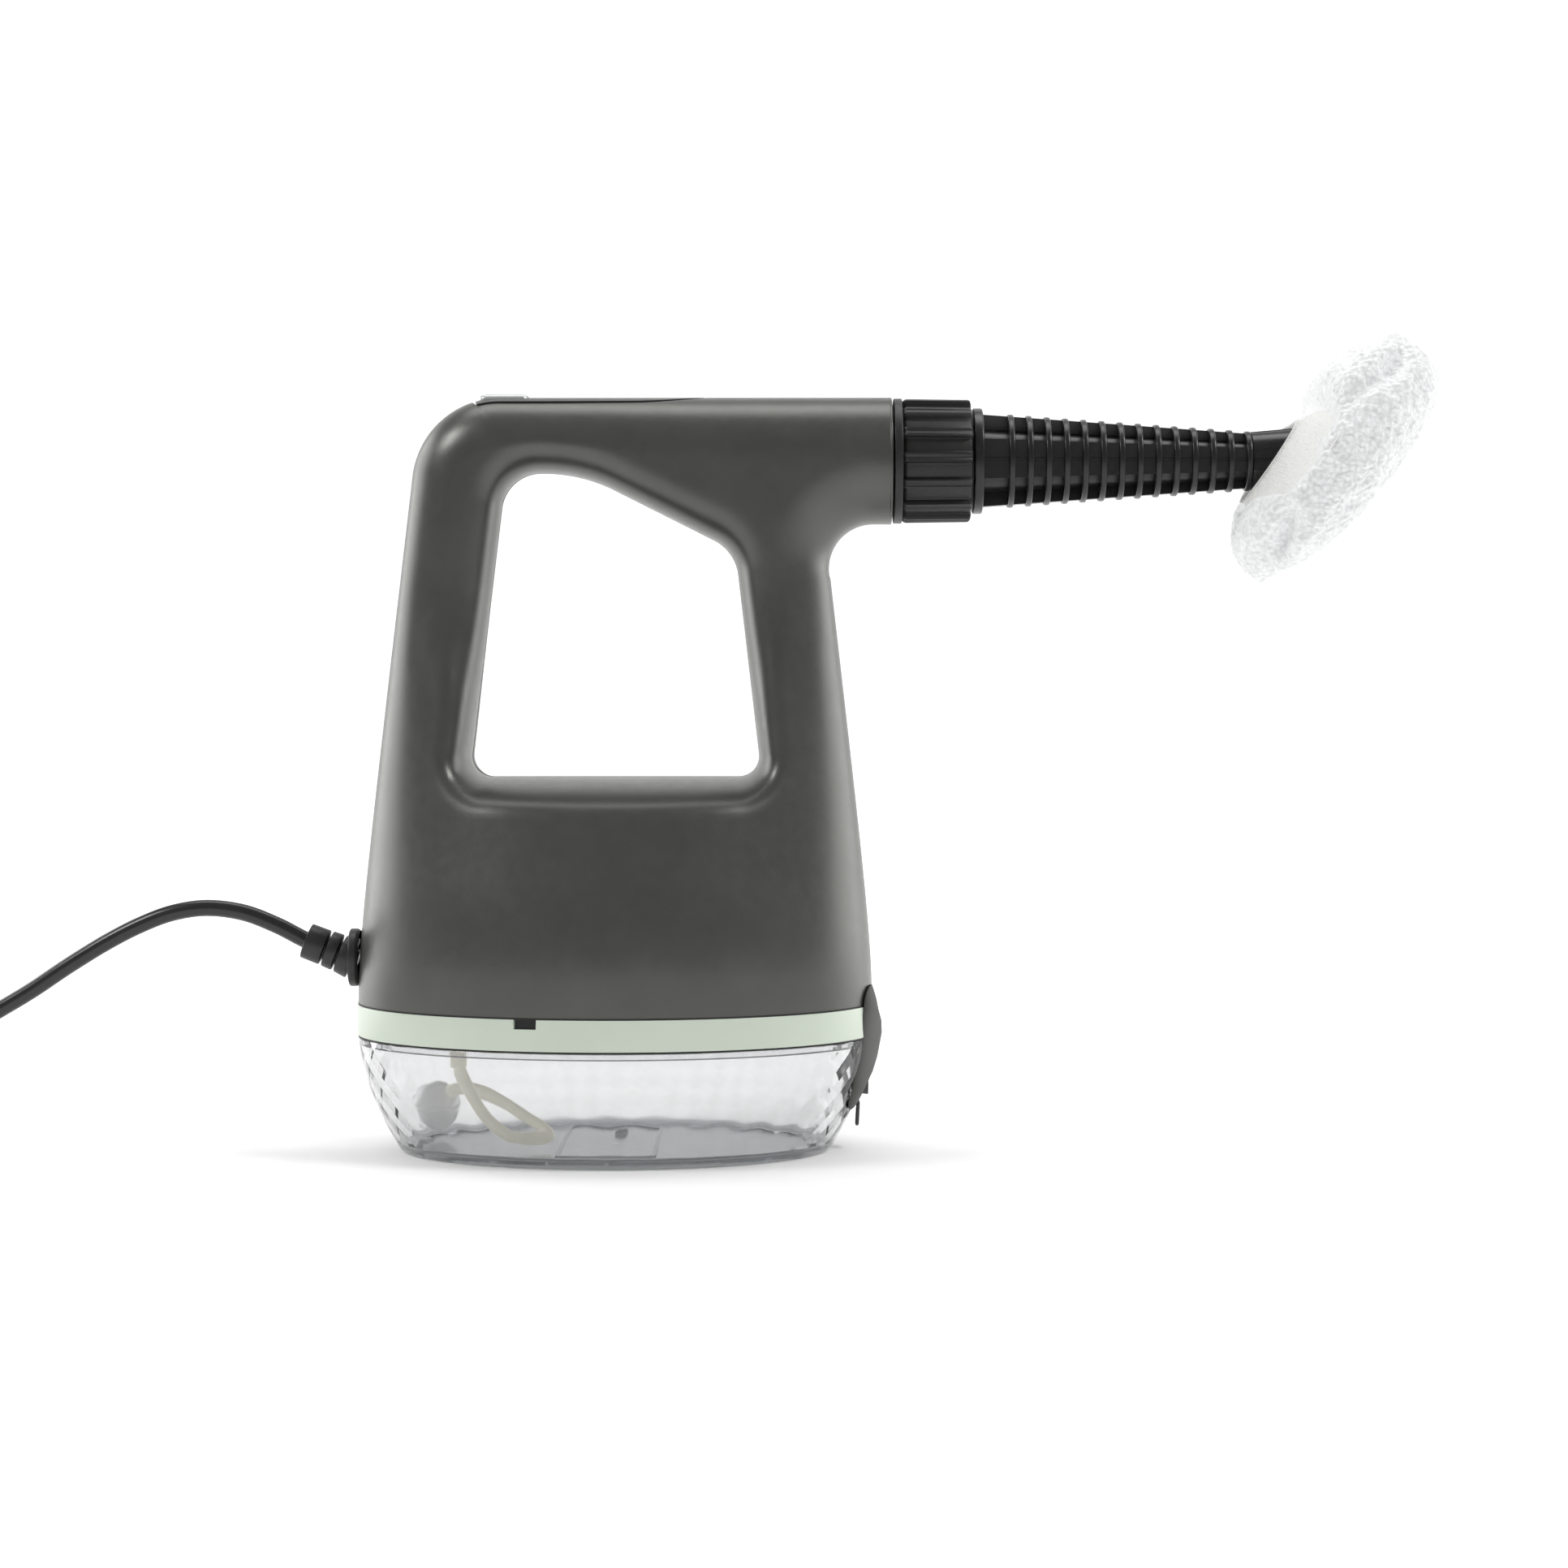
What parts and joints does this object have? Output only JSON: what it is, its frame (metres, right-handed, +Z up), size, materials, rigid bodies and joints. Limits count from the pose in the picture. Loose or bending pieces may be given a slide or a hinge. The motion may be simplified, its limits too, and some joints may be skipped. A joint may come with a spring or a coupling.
{
  "type": "handheld garment steamer",
  "caption": "Handheld garment steamer: hollow-handled casing over a clear water tank, ribbed straight nozzle with locking collar, flared steam head in a towelling cover, coiled mains cord.",
  "frame": {"origin": "centre of the tank's flat foot, on the surface the steamer stands on", "axes": "+X forwards along the nozzle, +Y to the steamer's left, +Z up; the casing halves part on the plane Y = 0"},
  "size_m": [0.6872, 0.1903, 0.3102],
  "materials": {
    "casing": "satin moulded",
    "panel": "satin moulded",
    "button": "silver lacquered",
    "band": "mint gloss",
    "tank": "clear moulded plastic",
    "white_plastic": "moulded",
    "black_plastic": "fine texture",
    "collar": "satin, ribbed",
    "nozzle": "satin, ringed",
    "switch_plastic": "moulded",
    "board": "lacquered board",
    "pump_body": "moulded",
    "rubber_grey": "soft matte",
    "rubber_black": "soft matte",
    "cord_rubber": "soft satin",
    "seal_rubber": "soft",
    "silicone": "translucent silicone",
    "cord": "smooth jacket",
    "wire": "insulated wire",
    "zinc_steel": "zinc plated",
    "spring_steel": "bright",
    "weight_steel": "ground ball",
    "plug_nickel": "nickel plated",
    "cast_aluminium": "die cast",
    "terminal_brass": "bright",
    "terry": "looped terry cloth",
    "knit": "knitted elastic"
  },
  "bodies": {
    "casing": {"casing_right": "casing", "casing_left": "casing", "casing_screws": "zinc_steel", "top_panel": "panel", "button_spring": "spring_steel", "microswitch": "switch_plastic", "indicator_board": "board", "trim_band": "band", "tank": "tank", "tank_gasket": "silicone", "chassis_plate": "white_plastic", "chassis_screws": "zinc_steel", "hose_fitting": "white_plastic", "pickup_hose": "silicone", "pickup_weight": "weight_steel", "pump": "pump_body", "pump_cradles": "rubber_black", "boiler_block": "cast_aluminium", "boiler_screws": "zinc_steel", "heater_terminals": "terminal_brass", "thermostat": "switch_plastic", "thermal_fuse": "terminal_brass", "feed_hose": "silicone", "steam_hose": "silicone", "hose_clips": "spring_steel", "terminal_block": "white_plastic", "cord_clamp": "black_plastic", "clamp_screws": "zinc_steel", "cord_flange": "black_plastic", "strain_relief": "cord_rubber", "power_cord": "cord", "cord_coil": "cord", "coil_tie": "black_plastic", "plug_body": "cord_rubber", "plug_pins": "plug_nickel", "outlet_spigot": "black_plastic", "spigot_seal": "seal_rubber", "spigot_screws": "zinc_steel", "wiring": "wire"},
    "button": {"steam_button": "button"},
    "stopper": {"filler_stopper": "rubber_grey"},
    "collar": {"lock_collar": "collar"},
    "nozzle": {"extension_nozzle": "nozzle"},
    "tool": {"tool_head": "black_plastic", "nozzle_seal": "seal_rubber", "bonnet": "terry", "bonnet_elastic": "knit"}
  },
  "joints": [
    {"name": "button_press", "type": "slide", "parent": "casing", "child": "button", "axis": [0, 0, -1], "range_m": [0, 0.0018], "stiffness_N_per_m": 500, "springref_m": -0.002, "deforming": ["button_spring"]},
    {"name": "stopper_swing", "type": "hinge", "parent": "casing", "child": "stopper", "pos_m": [0.0991, 0, 0.0634], "axis": [0, -1, 0], "range_deg": [0, 110]},
    {"name": "collar_turn", "type": "hinge", "parent": "casing", "child": "collar", "pos_m": [0.108, 0, 0.2625], "axis": [1, 0, 0], "range_deg": [0, 90]},
    {"name": "nozzle_pull", "type": "slide", "parent": "casing", "child": "nozzle", "axis": [1, 0, 0], "range_m": [0, 0.06]},
    {"name": "tool_pull", "type": "slide", "parent": "nozzle", "child": "tool", "axis": [1, 0, 0], "range_m": [0, 0.04]}
  ]
}
